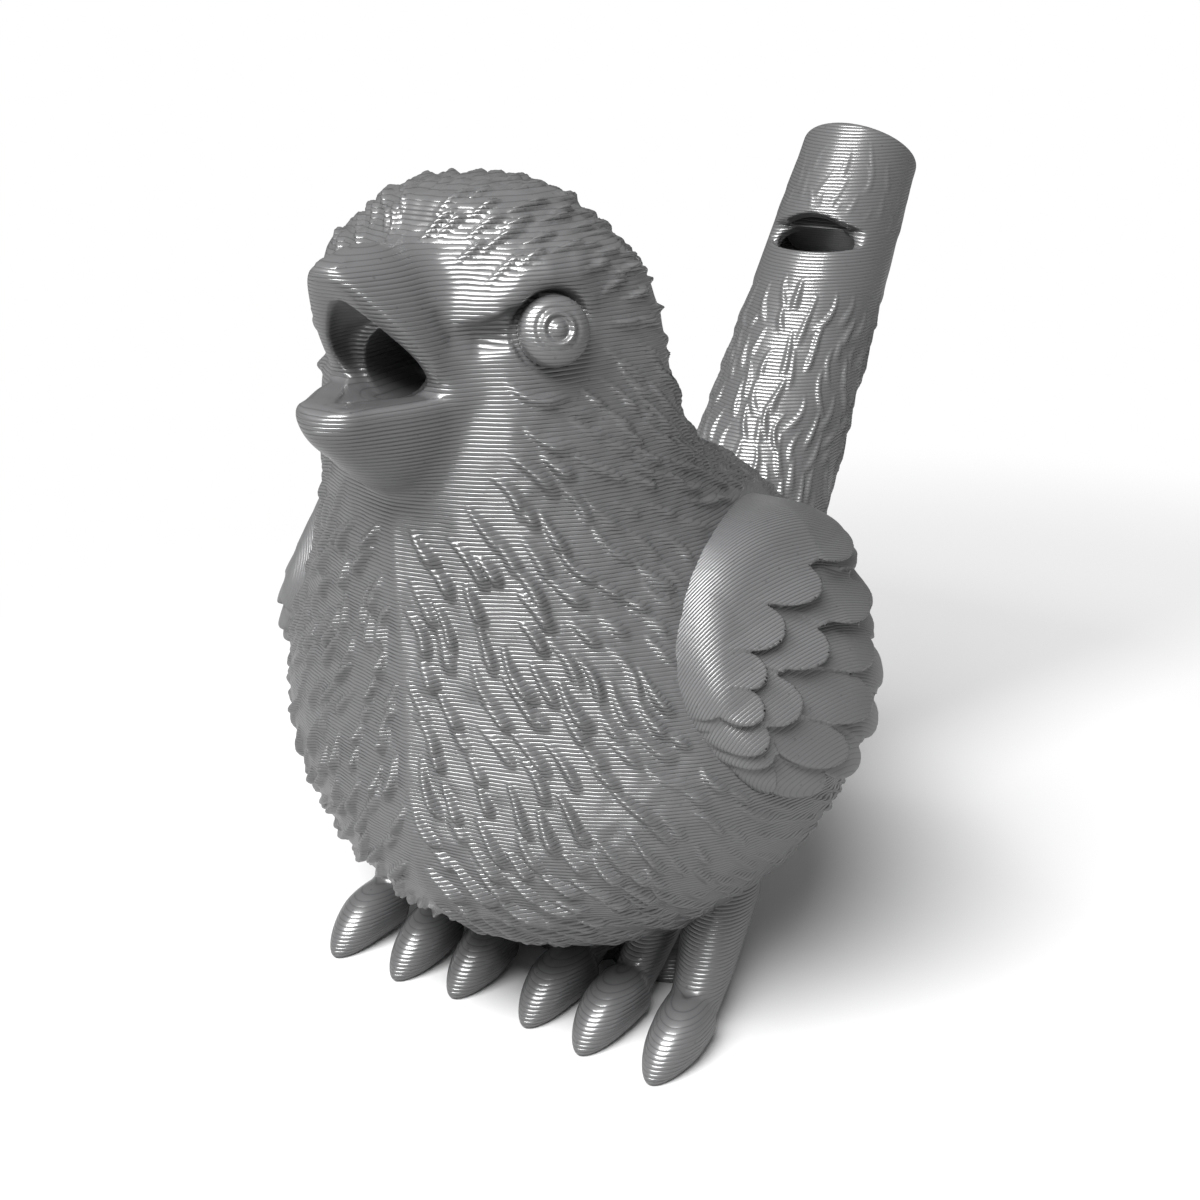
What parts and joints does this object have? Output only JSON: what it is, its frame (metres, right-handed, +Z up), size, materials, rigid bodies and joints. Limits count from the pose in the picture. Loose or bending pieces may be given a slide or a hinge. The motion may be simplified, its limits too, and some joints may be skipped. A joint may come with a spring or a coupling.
{
  "type": "bird water whistle",
  "caption": "Hollow bird with an open beak whose slanted tail is a whistle pipe with a window and a fipple; part filled with water, it warbles when blown.",
  "frame": {"origin": "centre of the bounding box in plan, at the height of the base it rests on", "axes": "+Z up; the beak points to -Y and the tail pipe leans to +Y; the bird's left side is +X"},
  "size_m": [0.0544, 0.0848, 0.0658],
  "materials": {
    "body_shell_left_plastic": "grey printed plastic, satin to glossy, with fine level layer lines",
    "body_shell_right_plastic": "grey printed plastic, satin to glossy, with fine level layer lines",
    "beak_upper_plastic": "grey printed plastic, satin to glossy, with fine level layer lines",
    "beak_lower_plastic": "grey printed plastic, satin to glossy, with fine level layer lines",
    "eye_left_plastic": "grey printed plastic, satin to glossy, with fine level layer lines",
    "eye_right_plastic": "grey printed plastic, satin to glossy, with fine level layer lines",
    "wing_left_plastic": "grey printed plastic, satin to glossy, with fine level layer lines",
    "wing_right_plastic": "grey printed plastic, satin to glossy, with fine level layer lines",
    "foot_left_plastic": "grey printed plastic, satin to glossy, with fine level layer lines",
    "foot_right_plastic": "grey printed plastic, satin to glossy, with fine level layer lines",
    "tail_pipe_plastic": "grey printed plastic, satin to glossy, with fine level layer lines",
    "fipple_block_plastic": "grey printed plastic, satin to glossy, with fine level layer lines"
  },
  "bodies": {
    "root": {"body_shell_left": "body_shell_left_plastic", "body_shell_right": "body_shell_right_plastic", "beak_upper": "beak_upper_plastic", "beak_lower": "beak_lower_plastic", "eye_left": "eye_left_plastic", "eye_right": "eye_right_plastic", "wing_left": "wing_left_plastic", "wing_right": "wing_right_plastic", "foot_left": "foot_left_plastic", "foot_right": "foot_right_plastic", "tail_pipe": "tail_pipe_plastic", "fipple_block": "fipple_block_plastic"}
  },
  "joints": []
}
